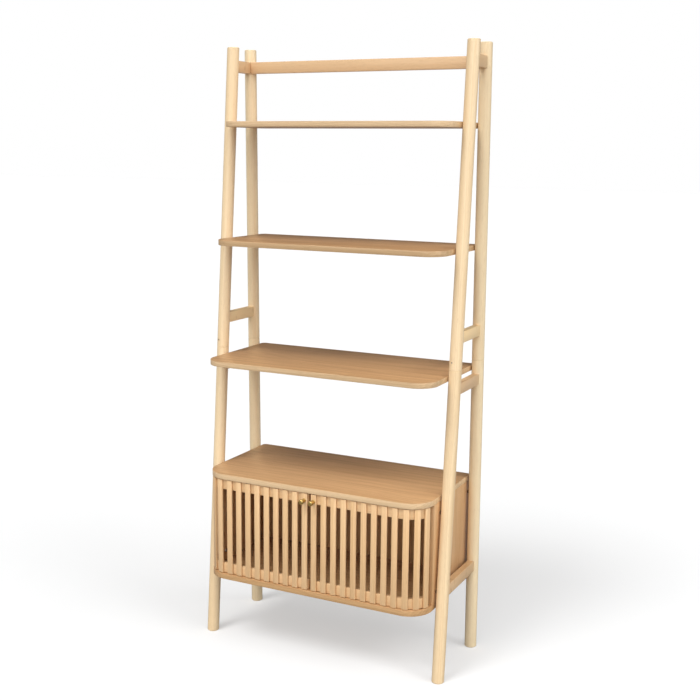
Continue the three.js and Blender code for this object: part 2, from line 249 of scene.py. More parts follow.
# %% Growth rings
PITH_DRIFT_Y = (1.6, 3.0)
PITH_DRIFT_Z = (2.3, 5.0)
UNEVEN_YEARS = (2.0, 60.0)
YEAR_SHIFT = 1.6
SUMMER = (0.1, 0.8)
WINTER = (0.86, 1.0)


def wandering(tree, given, axis, cells):
    drift = calculate(tree, "SUBTRACT", fibre_noise(tree, given["Vector"], *cells), 0.5)
    return calculate(tree, "MULTIPLY_ADD", drift, given["Waviness"], axis)


def late_wood_share(tree, given):
    axes = add_node(tree, "ShaderNodeSeparateXYZ", {0: given["Vector"]}).outputs
    y = wandering(tree, given, axes["Y"], PITH_DRIFT_Y)
    z = wandering(tree, given, axes["Z"], PITH_DRIFT_Z)
    squares = calculate(tree, "MULTIPLY_ADD", y, y, calculate(tree, "MULTIPLY", z, z))
    years = calculate(tree, "DIVIDE", calculate(tree, "SQRT", squares), given["Ring Width"])
    shift = fibre_noise(tree, given["Vector"], *UNEVEN_YEARS)
    season = calculate(tree, "FRACT", calculate(tree, "MULTIPLY_ADD", shift, YEAR_SHIFT, years))
    growing = calculate(tree, "SUBTRACT", 1.0, fade(tree, season, *WINTER))
    return calculate(tree, "MULTIPLY", fade(tree, season, *SUMMER), growing)


print("a ring darkens over", SUMMER, "of a year and ends over", WINTER)

# %% [markdown]
# Between the rings oak shows broad streaks, fine fibres and short dark pores, and a whole board
# is a little cloudy. Pores are mostly in the early wood, so they fade where the ring is dark.

# %% Streaks, fibres and pores
STREAKS = (1.2, 70.0, 3.0)
FIBRES = (9.0, 620.0, 3.0)
PORES = (38.0, 1500.0, 1.0)
CLOUDS = (0.9, 7.0)
FEWER_PORES = 0.7  # share of the pores that the late wood loses


def wood_marks(tree, place, late_wood):
    streaks = fade(tree, fibre_noise(tree, place, *STREAKS), 0.3, 0.72)
    fibres = fade(tree, fibre_noise(tree, place, *FIBRES), 0.3, 0.75)
    open_wood = calculate(tree, "SUBTRACT", 1.0, calculate(tree, "MULTIPLY", late_wood, FEWER_PORES))
    all_pores = fade(tree, fibre_noise(tree, place, *PORES), 0.6, 0.72)
    pores = calculate(tree, "MULTIPLY", all_pores, open_wood)
    clouds = calculate(tree, "SUBTRACT", fibre_noise(tree, place, *CLOUDS), 0.5)
    return streaks, fibres, pores, clouds


print("marks: streaks, fibres, pores and clouds")

# %% [markdown]
# The group adds these up to one number, from pale wood to dark wood, mixes the two colours with
# it and lays the pores over them. Fibres and pores also make the lacquer duller and uneven, so
# the group puts out a mask for the roughness and a height for the bump as well.

# %% Group: timber figure
FIBRE_DARKNESS = 0.16
CLOUD_DARKNESS = 0.5
PORE_BROWN = (0.5, 0.42, 0.34, 1)
FIBRE_DULLNESS = 0.10
PORE_DULLNESS = 0.3
FIBRE_HEIGHT = 0.35


def build_timber_figure():
    group, given, result = new_group(
        "timber figure",
        {
            "Vector": ("Vector", None),
            "Ring Width": ("Float", 0.004),
            "Waviness": ("Float", 0.012),
            "Ring Strength": ("Float", 0.5),
            "Streak Strength": ("Float", 0.5),
            "Pore Strength": ("Float", 0.4),
            "Tone": ("Float", 0.0),
            "Pale Wood": ("Color", (0.8, 0.6, 0.4, 1)),
            "Dark Wood": ("Color", (0.5, 0.3, 0.15, 1)),
        },
        {"Color": ("Color", None), "Gloss": ("Float", None), "Height": ("Float", None)},
    )
    late_wood = late_wood_share(group, given)
    streaks, fibres, pores, clouds = wood_marks(group, given["Vector"], late_wood)
    figure = calculate(group, "MULTIPLY", late_wood, given["Ring Strength"])
    figure = calculate(group, "MULTIPLY_ADD", streaks, given["Streak Strength"], figure)
    figure = calculate(group, "MULTIPLY_ADD", fibres, FIBRE_DARKNESS, figure)
    figure = calculate(group, "MULTIPLY_ADD", clouds, CLOUD_DARKNESS, figure)
    figure = calculate(group, "ADD", figure, given["Tone"], clamp=True)
    wood = mix_colour(group, figure, given["Pale Wood"], given["Dark Wood"])
    pore_share = calculate(group, "MULTIPLY", pores, given["Pore Strength"])
    feed(group, mix_colour(group, pore_share, wood, PORE_BROWN, "MULTIPLY"), result["Color"])
    pore_dullness = calculate(group, "MULTIPLY", pore_share, PORE_DULLNESS)
    feed(group, calculate(group, "MULTIPLY_ADD", fibres, FIBRE_DULLNESS, pore_dullness), result["Gloss"])
    fibre_height = calculate(group, "MULTIPLY", fibres, FIBRE_HEIGHT)
    feed(group, calculate(group, "SUBTRACT", fibre_height, pore_share), result["Height"])
    return group


timber_figure = build_timber_figure()
print("timber figure group:", len(timber_figure.nodes), "nodes")

# %% [markdown]
# ## Where each piece was cut from the trunk
#
# Two slats from one plank never match. Each piece carries two numbers of its own: how far along
# the trunk it was cut, and how much darker or paler it is than its neighbours. We could give
# each piece its own material, but 60 nearly equal ones are hard to keep in step. Instead an
# Attribute node reads the numbers from the piece. This group turns the piece's own coordinates
# into trunk coordinates, with the grain along X and two axes at right angles to it.

# %% Group: place in the trunk


def build_trunk_place():
    group, given, result = new_group(
        "place in the trunk",
        {
            "Along Grain": ("Vector", (1.0, 0.0, 0.0)),
            "Pith Offset": ("Vector", (0.0, 0.05, 0.08)),
            "Lean": ("Float", 0.0),
        },
        {"Vector": ("Vector", None), "Tone": ("Float", None)},
    )
    here = add_node(group, "ShaderNodeTexCoord").outputs["Object"]
    x, y, z = add_node(group, "ShaderNodeSeparateXYZ", {0: here}).outputs
    # A leaning pole is stood upright first, so that its grain follows its length.
    upright = calculate(group, "SUBTRACT", y, calculate(group, "MULTIPLY", z, given["Lean"]))
    straight = add_node(group, "ShaderNodeCombineXYZ", {0: x, 1: upright, 2: z}).outputs[0]
    side = calculate_vector(group, "CROSS_PRODUCT", given["Along Grain"], (0.0, 1.0, 0.0))[0]
    depth = calculate_vector(group, "CROSS_PRODUCT", given["Along Grain"], side)[0]
    axes = (given["Along Grain"], side, depth)
    parts = [calculate_vector(group, "DOT_PRODUCT", straight, axis)["Value"] for axis in axes]
    turned = add_node(group, "ShaderNodeCombineXYZ", dict(enumerate(parts))).outputs[0]
    cut = add_node(group, "ShaderNodeAttribute", attribute_type="OBJECT", attribute_name="cut_from")
    tone = add_node(group, "ShaderNodeAttribute", attribute_type="OBJECT", attribute_name="own_tone")
    shift = calculate_vector(group, "ADD", given["Pith Offset"], cut.outputs["Vector"])[0]
    feed(group, calculate_vector(group, "ADD", turned, shift)[0], result["Vector"])
    feed(group, tone.outputs["Fac"], result["Tone"])
    return group


trunk_place = build_trunk_place()
print("place in the trunk group:", len(trunk_place.nodes), "nodes")

# %% [markdown]
# ## Rubbed edges
#
# Sanding and handling thin the lacquer along a piece's edges, which makes them a shade paler
# and silkier. Painting that by hand would take a mask for each piece. A Bevel node gives the
# normal that a rounded edge would have, and where it differs from the true normal there is an
# edge, so the difference between the two is the mask.

# %% Group: rubbed edge
EDGE_FROM = 0.02
EDGE_FULL = 0.3


def build_rubbed_edge():
    group, given, result = new_group(
        "rubbed edge",
        {"Edge Width": ("Float", 0.0015)},
        {"Edge": ("Float", None)},
    )
    rounded = add_node(group, "ShaderNodeBevel", {"Radius": given["Edge Width"]}, samples=4)
    true_normal = add_node(group, "ShaderNodeNewGeometry").outputs["Normal"]
    alike = calculate_vector(group, "DOT_PRODUCT", rounded.outputs[0], true_normal)["Value"]
    unlike = calculate(group, "SUBTRACT", 1.0, alike)
    feed(group, fade(group, unlike, EDGE_FROM, EDGE_FULL), result["Edge"])
    return group


rubbed_edge = build_rubbed_edge()
print("rubbed edge group:", len(rubbed_edge.nodes), "nodes")

# %% [markdown]
# ## Lacquered wood finishes
#
# All the wood is oak under a clear satin lacquer, but it does not all look alike. One function makes each
# of the woods from the same groups, with its own colours and ring width. A veneered board can have its
# rim painted brighter than its faces, as painted light from the lamps in front, which the rim faces. The
# direction that a face looks in tells the two apart, as only the faces look up or down.

# %% Painted rim light
RIM_BELOW = 0.3
FACE_ABOVE = 0.8


def add_painted_rim_light(tree, colour, tint):
    facing = add_node(tree, "ShaderNodeNewGeometry").outputs["True Normal"]
    upwards = add_node(tree, "ShaderNodeSeparateXYZ", {0: facing}).outputs["Z"]
    on_face = fade(tree, calculate(tree, "ABSOLUTE", upwards), RIM_BELOW, FACE_ABOVE)
    # painted light: the rim, which faces the front lamps, is tinted brighter than the faces that look up
    # or down; a tint below 1 paints shade
    painted_rim_light = mix_colour(tree, 1.0, colour, (*tint, 1), "MULTIPLY")
    return mix_colour(tree, on_face, painted_rim_light, colour)


print("a rim can have a lipping")

# %% [markdown]
# The lacquer is a coat over the wood: nearly smooth, but sunk a tenth of a millimetre into the
# pores, and thinner where an edge has been rubbed. Coat roughness is the same all over, so it is
# a plain number on the shader. Roughness and coat weight change over the surface.

# %% Build a wood finish
PORE_DEPTH = 0.00012
PORE_BUMP = 0.5
RUBBED_SHARE = 0.22
LACQUER = {"Specular_IOR_Level": 0.5, "Coat_Roughness": 0.22, "Coat_IOR": 1.5}


def wood_finish(name, pale, dark, grain=(1, 0, 0), pith=(0, 0.05, 0.08), lean=0.0, ring=0.004,
                waviness=0.012, rings=0.35, streaks=0.35, pores=0.4, roughness=0.38, coat=0.2,
                painted_rim_light=None):
    finish, tree, shader = new_finish(name, **LACQUER)
    place = use_group(tree, trunk_place, {"Along Grain": grain, "Pith Offset": pith, "Lean": lean})
    figure = use_group(tree, timber_figure, {
        "Vector": place["Vector"], "Tone": place["Tone"], "Ring Width": ring,
        "Waviness": waviness, "Ring Strength": rings, "Streak Strength": streaks,
        "Pore Strength": pores, "Pale Wood": (*pale, 1), "Dark Wood": (*dark, 1),
    })
    colour = figure["Color"]
    if painted_rim_light:
        colour = add_painted_rim_light(tree, colour, painted_rim_light)
    edge = use_group(tree, rubbed_edge)["Edge"]
    rubbed = mix_colour(tree, calculate(tree, "MULTIPLY", edge, RUBBED_SHARE), colour, (*pale, 1))
    feed(tree, rubbed, shader.inputs["Base Color"])
    feed(tree, calculate(tree, "ADD", figure["Gloss"], roughness), shader.inputs["Roughness"])
    lacquer = calculate(tree, "SUBTRACT", coat, calculate(tree, "MULTIPLY", edge, coat / 2))
    feed(tree, lacquer, shader.inputs["Coat Weight"])
    add_bump(tree, shader, figure["Height"], PORE_BUMP, PORE_DEPTH)
    return finish


print("wood is rubbed through by up to", RUBBED_SHARE, "at its edges")

# %% [markdown]
# ## The poles
#
# The poles are turned from solid, pale, close-grained oak with the glossiest coat of all. They lean: the
# front ones by 148 mm over their height and the rear ones by 22 mm the other way. The rear poles are
# painted a little paler than the front ones, as painted light.

# %% Pole oak
UPRIGHT = (0, 0, 1)
FRONT_LEAN = 148 / 1800
REAR_LEAN = -22 / 1800
POLE_OAK = (0.94, 0.74, 0.475)
POLE_OAK_DARK = (0.79, 0.56, 0.31)
# painted light: the rear poles are painted paler than the front ones
REAR_POLE_LIT_OAK = (0.95, 0.79, 0.53)
REAR_POLE_LIT_OAK_DARK = (0.85, 0.64, 0.38)
POLE_FIGURE = {"ring": 0.0032, "rings": 0.35, "streaks": 0.45, "coat": 0.35}

front_pole_wood = wood_finish("front pole oak", POLE_OAK, POLE_OAK_DARK, UPRIGHT, lean=FRONT_LEAN,
                              **POLE_FIGURE)
lit_rear_pole_wood = wood_finish("rear pole lit oak", REAR_POLE_LIT_OAK, REAR_POLE_LIT_OAK_DARK, UPRIGHT,
                             lean=REAR_LEAN, **POLE_FIGURE)
print("poles lean", round(FRONT_LEAN, 3), "and", round(REAR_LEAN, 3), "per metre of height")

# %% [markdown]
# ## Rails
#
# The flat bars that hold the poles together are a warmer oak. Their grain runs along them: from front to
# back in the side rails, a hair off level, and from left to right in the long one. The two short rails at
# half height stand in the light, and their oak is painted the palest of the rails, as painted light.

# %% Rail oak
ALONG_X = (1, 0, 0)
ALONG_Y = (0, 0.9999, 0.0141)
RAIL_RING = 0.003
RAIL_OAK = (0.80, 0.555, 0.325)
RAIL_OAK_DARK = (0.655, 0.41, 0.205)
# painted light: the two short rails are painted paler than the other rails, for the light they stand in
CENTRE_RAIL_LIT_OAK = (0.97, 0.76, 0.44)
CENTRE_RAIL_LIT_OAK_DARK = (0.94, 0.63, 0.32)

side_rail_wood = wood_finish("side rail oak", RAIL_OAK, RAIL_OAK_DARK, ALONG_Y, ring=RAIL_RING)
lit_centre_rail_wood = wood_finish("centre rail lit oak", CENTRE_RAIL_LIT_OAK, CENTRE_RAIL_LIT_OAK_DARK, ALONG_Y,
                               ring=RAIL_RING)
long_rail_wood = wood_finish("long rail oak", RAIL_OAK, RAIL_OAK_DARK, ALONG_X, ring=RAIL_RING)
print("rails:", side_rail_wood.name, lit_centre_rail_wood.name, long_rail_wood.name, sep=", ")

# %% [markdown]
# ## Door slats and their rails
#
# The slats are ripped from one plank, so they share their colours with the curved rails behind
# them. Only the way the grain runs is different.

# %% Slat oak
SLAT_RING = 0.0028
SLAT_OAK = (0.86, 0.575, 0.31)
SLAT_OAK_DARK = (0.68, 0.415, 0.195)

slat_wood = wood_finish("slat oak", SLAT_OAK, SLAT_OAK_DARK, UPRIGHT, ring=SLAT_RING, rings=0.3)
door_rail_wood = wood_finish("door rail oak", SLAT_OAK, SLAT_OAK_DARK, ALONG_X, ring=SLAT_RING)
print("door woods:", slat_wood.name, "and", door_rail_wood.name)

# %% [markdown]
# ## Shelves and case boards
#
# The boards carry a browner veneer, sliced almost flat from a big trunk, which gives wide wavy figure.
# The rims of the shelves are painted much paler than the veneer, as painted light, and the rim of the
# case's floor a shade darker, as painted shade. The case's sides and back are veneered upright.

# %% Veneers
VENEER = (0.625, 0.37, 0.177)
VENEER_DARK = (0.44, 0.237, 0.1)
SIDE_VENEER = (0.735, 0.465, 0.245)
SIDE_VENEER_DARK = (0.60, 0.345, 0.155)
SHELF_RIM_LIGHT = (1.22, 1.46, 1.78)  # how much brighter the rim is painted, as painted light, in red, green and blue
# painted shade: the case floor's rim is painted a shade darker than its faces
CASE_FLOOR_RIM_SHADE = (0.955, 0.97, 0.93)
SHELF_PITH = (0, 0.04, 0.11)
SIDE_PITH = (0, 0.09, 0.1)
BACK_PITH = (0, 0.05, 0.3)
BOARD_FIGURE = {"ring": 0.007, "waviness": 0.05, "rings": 0.3, "streaks": 0.5, "coat": 0.12}

shelf_veneer = wood_finish("shelf veneer", VENEER, VENEER_DARK, ALONG_X, SHELF_PITH,
                           roughness=0.4, painted_rim_light=SHELF_RIM_LIGHT, **BOARD_FIGURE)
case_floor_veneer = wood_finish("case floor veneer", VENEER, VENEER_DARK, ALONG_X, SHELF_PITH,
                                roughness=0.4, painted_rim_light=CASE_FLOOR_RIM_SHADE, **BOARD_FIGURE)
side_veneer = wood_finish("case side veneer", SIDE_VENEER, SIDE_VENEER_DARK, UPRIGHT, SIDE_PITH,
                          roughness=0.4, **BOARD_FIGURE)
back_veneer = wood_finish("case back veneer", VENEER, VENEER_DARK, UPRIGHT, BACK_PITH,
                          roughness=0.45, **BOARD_FIGURE)
print("veneers:", [m.name for m in bpy.data.materials if m.name.endswith("veneer")])

# %% [markdown]
# ## Brass and steel
#
# The knobs are turned brass that hands have dulled. The hinge pins, screws and strike plates are
# zinc plated steel. Metal needs little colour but a living roughness: fine tool marks round the
# axis and duller patches. Noise squeezed along the axis gives the tool marks, and coarse noise
# the patches. Both are in one group, because brass and steel differ only in their colours.

# %% Group: handled metal
TOOL_MARKS = (60.0, 60.0, 2600.0)
PATCHES = 260.0
POLISHED = 0.22
DULLING = 0.18
PATCH_BLUR = 0.15


def build_handled_metal():
    group, given, result = new_group(
        "handled metal",
        {
            "Clean": ("Color", (0.8, 0.6, 0.3, 1)),
            "Dull": ("Color", (0.5, 0.4, 0.2, 1)),
            "Dull Share": ("Float", 0.5),
        },
        {"Color": ("Color", None), "Roughness": ("Float", None), "Height": ("Float", None)},
    )
    here = add_node(group, "ShaderNodeTexCoord").outputs["Object"]
    squeezed = calculate_vector(group, "MULTIPLY", here, TOOL_MARKS)[0]
    patches = add_node(group, "ShaderNodeTexNoise", {"Vector": here, "Scale": PATCHES, "Detail": 3.0})
    marks = add_node(group, "ShaderNodeTexNoise", {"Vector": squeezed, "Scale": 1.0, "Detail": 2.0})
    # The bigger the dull share, the lower the noise may be and still count as a patch.
    limit = calculate(group, "SUBTRACT", 0.9, calculate(group, "MULTIPLY", given["Dull Share"], 0.8))
    dull = fade(group, patches.outputs["Fac"], calculate(group, "SUBTRACT", limit, PATCH_BLUR),
                calculate(group, "ADD", limit, PATCH_BLUR))
    feed(group, mix_colour(group, dull, given["Clean"], given["Dull"]), result["Color"])
    feed(group, calculate(group, "MULTIPLY_ADD", dull, DULLING, POLISHED), result["Roughness"])
    feed(group, marks.outputs["Fac"], result["Height"])
    return group


handled_metal = build_handled_metal()
print("handled metal group:", len(handled_metal.nodes), "nodes")

# %% Brass and steel
BRASS = (0.80, 0.56, 0.20, 1)
BRASS_DULL = (0.42, 0.28, 0.09, 1)
ZINC = (0.55, 0.55, 0.56, 1)
ZINC_DULL = (0.34, 0.34, 0.36, 1)
DULL_SHARE = 0.5
TOOL_MARK_DEPTH = 0.00004


def metal_finish(name, clean, dull):
    finish, tree, shader = new_finish(name, Metallic=1.0)
    metal = use_group(tree, handled_metal, {"Clean": clean, "Dull": dull, "Dull Share": DULL_SHARE})
    feed(tree, metal["Color"], shader.inputs["Base Color"])
    feed(tree, metal["Roughness"], shader.inputs["Roughness"])
    add_bump(tree, shader, metal["Height"], 0.3, TOOL_MARK_DEPTH)
    return finish


brass = metal_finish("turned brass", BRASS, BRASS_DULL)
steel = metal_finish("zinc plated steel", ZINC, ZINC_DULL)
print("metals:", brass.name, "and", steel.name)

# %% [markdown]
# ## Moulded plastic and ferrite
#
# Moulded plastic has a fine spark-eroded texture from its mould and a slightly cloudy colour.
# Two noises give both. The magnets are pressed ferrite, which looks the same but darker and
# coarser, so they take the same group.

# %% Group: moulded skin
CLOUD_SIZE = 90.0
CLOUD_TINT = (1.25, 1.22, 1.2, 1)
GRIT_DULLNESS = 0.2


def build_moulded_skin():
    group, given, result = new_group(
        "moulded skin",
        {"Colour": ("Color", (0.4, 0.3, 0.2, 1)), "Grit": ("Float", 2400.0), "Shine": ("Float", 0.45)},
        {"Color": ("Color", None), "Roughness": ("Float", None), "Height": ("Float", None)},
    )
    here = add_node(group, "ShaderNodeTexCoord").outputs["Object"]
    clouds = add_node(group, "ShaderNodeTexNoise", {"Vector": here, "Scale": CLOUD_SIZE, "Detail": 2.0})
    grit = add_node(group, "ShaderNodeTexNoise", {"Vector": here, "Scale": given["Grit"], "Detail": 2.0})
    paler = mix_colour(group, 1.0, given["Colour"], CLOUD_TINT, "MULTIPLY")
    feed(group, mix_colour(group, clouds.outputs["Fac"], given["Colour"], paler), result["Color"])
    rough = calculate(group, "MULTIPLY_ADD", grit.outputs["Fac"], GRIT_DULLNESS, given["Shine"])
    feed(group, rough, result["Roughness"])
    feed(group, grit.outputs["Fac"], result["Height"])
    return group


moulded_skin = build_moulded_skin()
print("moulded skin group:", len(moulded_skin.nodes), "nodes")

# %% Plastics and ferrite
FINE_GRIT = 2400.0
COARSE_GRIT = 1500.0
GRIT_DEPTH = 0.00005
CATCH_BROWN = (0.40, 0.26, 0.13, 1)
SPACER_BROWN = (0.10, 0.055, 0.03, 1)
FERRITE_BLACK = (0.045, 0.045, 0.05, 1)


def moulded_finish(name, colour, grit, shine):
    finish, tree, shader = new_finish(name, Specular_IOR_Level=0.4)
    skin = use_group(tree, moulded_skin, {"Colour": colour, "Grit": grit, "Shine": shine})
    feed(tree, skin["Color"], shader.inputs["Base Color"])
    feed(tree, skin["Roughness"], shader.inputs["Roughness"])
    add_bump(tree, shader, skin["Height"], 0.4, GRIT_DEPTH)
    return finish


catch_plastic = moulded_finish("catch plastic", CATCH_BROWN, FINE_GRIT, 0.42)
spacer_plastic = moulded_finish("spacer plastic", SPACER_BROWN, FINE_GRIT, 0.5)
ferrite = moulded_finish("pressed ferrite", FERRITE_BLACK, COARSE_GRIT, 0.5)
print("moulded:", catch_plastic.name, spacer_plastic.name, ferrite.name, sep=", ")

# %% [markdown]
# ## Give every CAD piece its finish
#
# The pieces' names say what they are, so a short list of words finds the finish for each. The
# first word that is in the name decides, so the special cases come before the general ones.

# %% Assign the finishes
FINISH_BY_WORD = {
    "pin": steel,
    "knob": brass,
    "catch": catch_plastic,
    "front_pole": front_pole_wood,
    "rear_pole": lit_rear_pole_wood,
    "middle_side_rail": lit_centre_rail_wood,
    "side_rail": side_rail_wood,
    "long_top_rail": long_rail_wood,
    "slat": slat_wood,
    "door": door_rail_wood,
    "cabinet_side": side_veneer,
    "back": back_veneer,
    "cabinet_bottom": case_floor_veneer,
    "shelf": shelf_veneer,
    "cabinet_top": shelf_veneer,
}


def finish_for(name):
    return next(finish for word, finish in FINISH_BY_WORD.items() if word in name)


for name, piece in nodes.items():
    piece.data.materials[0] = finish_for(name)
print("finishes in use:", len({piece.data.materials[0].name for piece in nodes.values()}))

# %% [markdown]
# The two numbers that place a piece in its trunk are written on it. They come from a fixed rule over the
# piece's place in the list, so each run gives the same shelf. Steps of the golden ratio spread the pieces
# out, so that no two near each other match. Two boards take a tone of painted light instead: the case's
# top is painted paler, to lift the shade that the lower shelf casts on it, and the middle shelf is
# painted darker, as painted shade.

# %% Cut the pieces from the trunk
GRAIN_STEP = 0.618
TONE_STEP = 0.7548
TONE_SPREAD = 0.24
TRUNK_LENGTH = 3.0
CUT_SPREAD_Y = 0.02
CUT_SPREAD_Z = 0.01
PAINTED_LIGHT_TONES = {"cabinet_top": -0.25, "middle_shelf": 0.3}

for index, name in enumerate(sorted(nodes)):
    share = (index * GRAIN_STEP) % 1.0
    nodes[name]["cut_from"] = (TRUNK_LENGTH * share, CUT_SPREAD_Y * (share - 0.5), CUT_SPREAD_Z * share)
    nodes[name]["own_tone"] = TONE_SPREAD * (((index * TONE_STEP) % 1.0) - 0.5)
# painted light: the case's top is painted paler against the shelf's shadow, and the middle shelf darker,
# as painted shade
for name, tone in PAINTED_LIGHT_TONES.items():
    nodes[name]["own_tone"] = tone
tones = [piece["own_tone"] for piece in nodes.values()]
print("tones from", round(min(tones), 2), "to", round(max(tones), 2))

# %% [markdown]
# ## Small hardware
#
# Knobs, screws, spacers and the catch are what a maker would buy, not saw. The CAD model holds a
# plain knob and a plain catch block, which are hidden here, and detailed ones take their place.
# Screws, spacers and plates are new. We build them face by face with bmesh, whose first two
# helpers give smooth faces with crisp creases and turn the work into a mesh.

# %% Meshes with crisp edges
SHARP = math.radians(35)


def mark_sharp_edges(work):
    for edge in work.edges:
        edge.smooth = edge.calc_face_angle(0.0) < SHARP
    for face in work.faces:
        face.smooth = True


def mesh_from(work, name):
    bmesh.ops.recalc_face_normals(work, faces=work.faces)
    mark_sharp_edges(work)
    mesh = bpy.data.meshes.new(name)
    work.to_mesh(mesh)
    work.free()
    return mesh


print("edges over", round(math.degrees(SHARP)), "degrees stay crisp")

# %% [markdown]
# Most of the hardware is turned, so this helper does what a lathe does: it spins a profile of
# rings round the Z axis. A screw also needs a hexagon key hole, which is two more rings that
# go six-sided into its head.

# %% Turn a profile
MM = 0.001
SIDES = 48


def round_ring(radius, height, angles):
    return [(radius * math.cos(a), radius * math.sin(a), height) for a in angles]


def hexagon_ring(size, height, angles):
    reach = [size / 2 / math.cos(a % (math.pi / 3) - math.pi / 6) for a in angles]
    return [(r * math.cos(a), r * math.sin(a), height) for r, a in zip(reach, angles)]


def turned(name, rings, socket=None):
    """rings are (radius, height) in mm, from foot to head; socket is (size, depth) of a key hole."""
    work = bmesh.new()
    angles = [2 * math.pi * i / SIDES for i in range(SIDES)]
    rows = [round_ring(radius, height, angles) for radius, height in rings]
    if socket:
        size, depth = socket
        head = rings[-1][1]
        rows.append(hexagon_ring(size, head, angles))
        rows.append(hexagon_ring(size, head - depth, angles))
    corners = [[work.verts.new([MM * v for v in point]) for point in row] for row in rows]
    for below, above in zip(corners, corners[1:]):
        for i in range(SIDES):
            j = (i + 1) % SIDES
            work.faces.new((below[i], below[j], above[j], above[i]))
    work.faces.new(corners[0])
    work.faces.new(corners[-1])
    return mesh_from(work, name)


print("a turned part has", SIDES, "sides")

# %% [markdown]
# A part made at the origin is then carried to its place, with its head turned to where it should
# point, given its finish and hung on the CAD body that it moves with.

# %% Put a part in place


def add_piece(mesh, finish, body, place=(0, 0, 0), towards=(0, 0, 1)):
    """towards is where the turned part's head points."""
    piece = bpy.data.objects.new(mesh.name, mesh)
    mesh.materials.append(finish)
    bpy.context.scene.collection.objects.link(piece)
    turn = Vector((0, 0, 1)).rotation_difference(Vector(towards)).to_matrix().to_4x4()
    piece.matrix_world = Matrix.Translation(Vector(place)) @ turn
    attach(piece, body)
    return piece


print("parts can be put in place")

# %% [markdown]
# ## Door knobs
#
# Each knob is turned from one brass bar: a small foot, a waist for the fingers and a head with a
# low dome and a fine groove round its rim. The CAD knob has the same outline with fewer facets,
# so the new one takes its place and size from that node's box. Its profile is straight cuts and
# soft curves, so a helper makes the points of a curve that is pulled towards a third point.

# %% Knob profile
STUD_RADIUS = 2
FOOT_RADIUS = 6
WAIST_RADIUS = 4.5
HEAD_RADIUS = 7.5
CHAMFER = 0.4
HEAD_START = 15
GROOVE_START = 17.2
GROOVE_DEPTH = 0.35
DOME_START = 20


def arc(start, control, end, steps=6):
    """Points of a soft curve from start to end, without its first point."""
    points = []
    for i in range(1, steps + 1):
        t = i / steps
        pair = zip(start, control, end)
        points.append(tuple((1 - t) ** 2 * a + 2 * t * (1 - t) * b + t * t * c for a, b, c in pair))
    return points


def knob_profile(stud_length, projection):
    groove = HEAD_RADIUS - GROOVE_DEPTH
    rings = [(STUD_RADIUS, -stud_length), (STUD_RADIUS, 0.3), (FOOT_RADIUS - CHAMFER, 0.3)]
    rings += [(FOOT_RADIUS, 0.7), (FOOT_RADIUS, 1.6), (FOOT_RADIUS - CHAMFER, 2.0)]
    rings += arc((FOOT_RADIUS - CHAMFER, 2.0), (WAIST_RADIUS, 2.2), (WAIST_RADIUS, 8.0))
    rings += arc((WAIST_RADIUS, 8.0), (WAIST_RADIUS, 13.5), (HEAD_RADIUS - 0.5, HEAD_START))
    rings += [(HEAD_RADIUS, HEAD_START + 0.5), (HEAD_RADIUS, GROOVE_START)]
    rings += [(groove, GROOVE_START + 0.2), (groove, GROOVE_START + 0.6)]
    rings += [(HEAD_RADIUS, GROOVE_START + 0.8), (HEAD_RADIUS, DOME_START)]
    rings += arc((HEAD_RADIUS, DOME_START), (HEAD_RADIUS, projection), (0.4, projection), 9)
    return rings


print("a knob's head is", 2 * HEAD_RADIUS, "mm across and its waist", 2 * WAIST_RADIUS)

# %% Knobs
for side_name in ("left", "right"):
    node = f"{side_name}_door_knob"
    low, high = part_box(node)
    slat_low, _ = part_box(f"{side_name}_door_slat_01")
    face = slat_low[1]
    rings = knob_profile((high[1] - face) / MM, (face - low[1]) / MM)
    middle = ((low[0] + high[0]) / 2, face, (low[2] + high[2]) / 2)
    knob = add_piece(turned(f"{side_name}_knob", rings), brass, f"{side_name}_door",
                     middle, (0, -1, 0))
    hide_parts(node)
    print(knob.name, "at", [round(v, 4) for v in middle], "stands out", round(face - low[1], 4))

# %% [markdown]
# ## Screws that lock the poles, and bolts that hold the cabinet
#
# Each pole comes in two lengths. A screw with a hexagon key hole, sunk in the small hole over
# the seam, keeps them from turning. The cabinet hangs between the poles on eight bolts: their
# round heads show inside it, and a dark plastic spacer fills the gap to each pole. All of them
# sit on a pole's middle line, which leans, so a helper finds that line at a given height.

# %% A pole's middle line
POLE_RADIUS = 0.018


def pole_centre(row, side_name, height):
    low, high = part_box(f"{row}_pole_lower_{side_name}")
    if row == "front":
        y = low[1] + POLE_RADIUS + FRONT_LEAN * height
    else:
        y = high[1] - POLE_RADIUS + REAR_LEAN * height
    return Vector(((low[0] + high[0]) / 2, y, height))


print("right front pole at 1 m:", [round(v, 3) for v in pole_centre("front", "right", 1.0)])

# %% Screws, bolts and spacers
HOLE_HEIGHT = 0.922
HOLE_TURN = math.radians(22)
SUNK = 0.0014
BOLT_HEIGHTS = (0.262, 0.493)
SPACER_GAP = 0.0001
LOCK_SCREW = [(2.4, -9), (2.4, -0.3), (2.1, 0)]
LOCK_SCREW_KEY = (2.5, 1.6)
BOLT_HEAD = [(5.6, 0.1), (5.8, 0.5), (5.6, 1.3), (4.6, 2.2), (3.2, 2.6)]
BOLT_KEY = (4, 1.8)
SPACER = [(4.6, 0), (5, 0.4), (5, 2.6), (4.6, 3.0)]


def add_lock_screw(row, facing, side_name):
    outwards = Vector((-math.sin(HOLE_TURN), facing * math.cos(HOLE_TURN), 0))
    place = pole_centre(row, side_name, HOLE_HEIGHT) + outwards * (POLE_RADIUS - SUNK)
    mesh = turned(f"lock_screw_{row}_{side_name}", LOCK_SCREW, LOCK_SCREW_KEY)
    add_piece(mesh, steel, "frame", place, outwards)


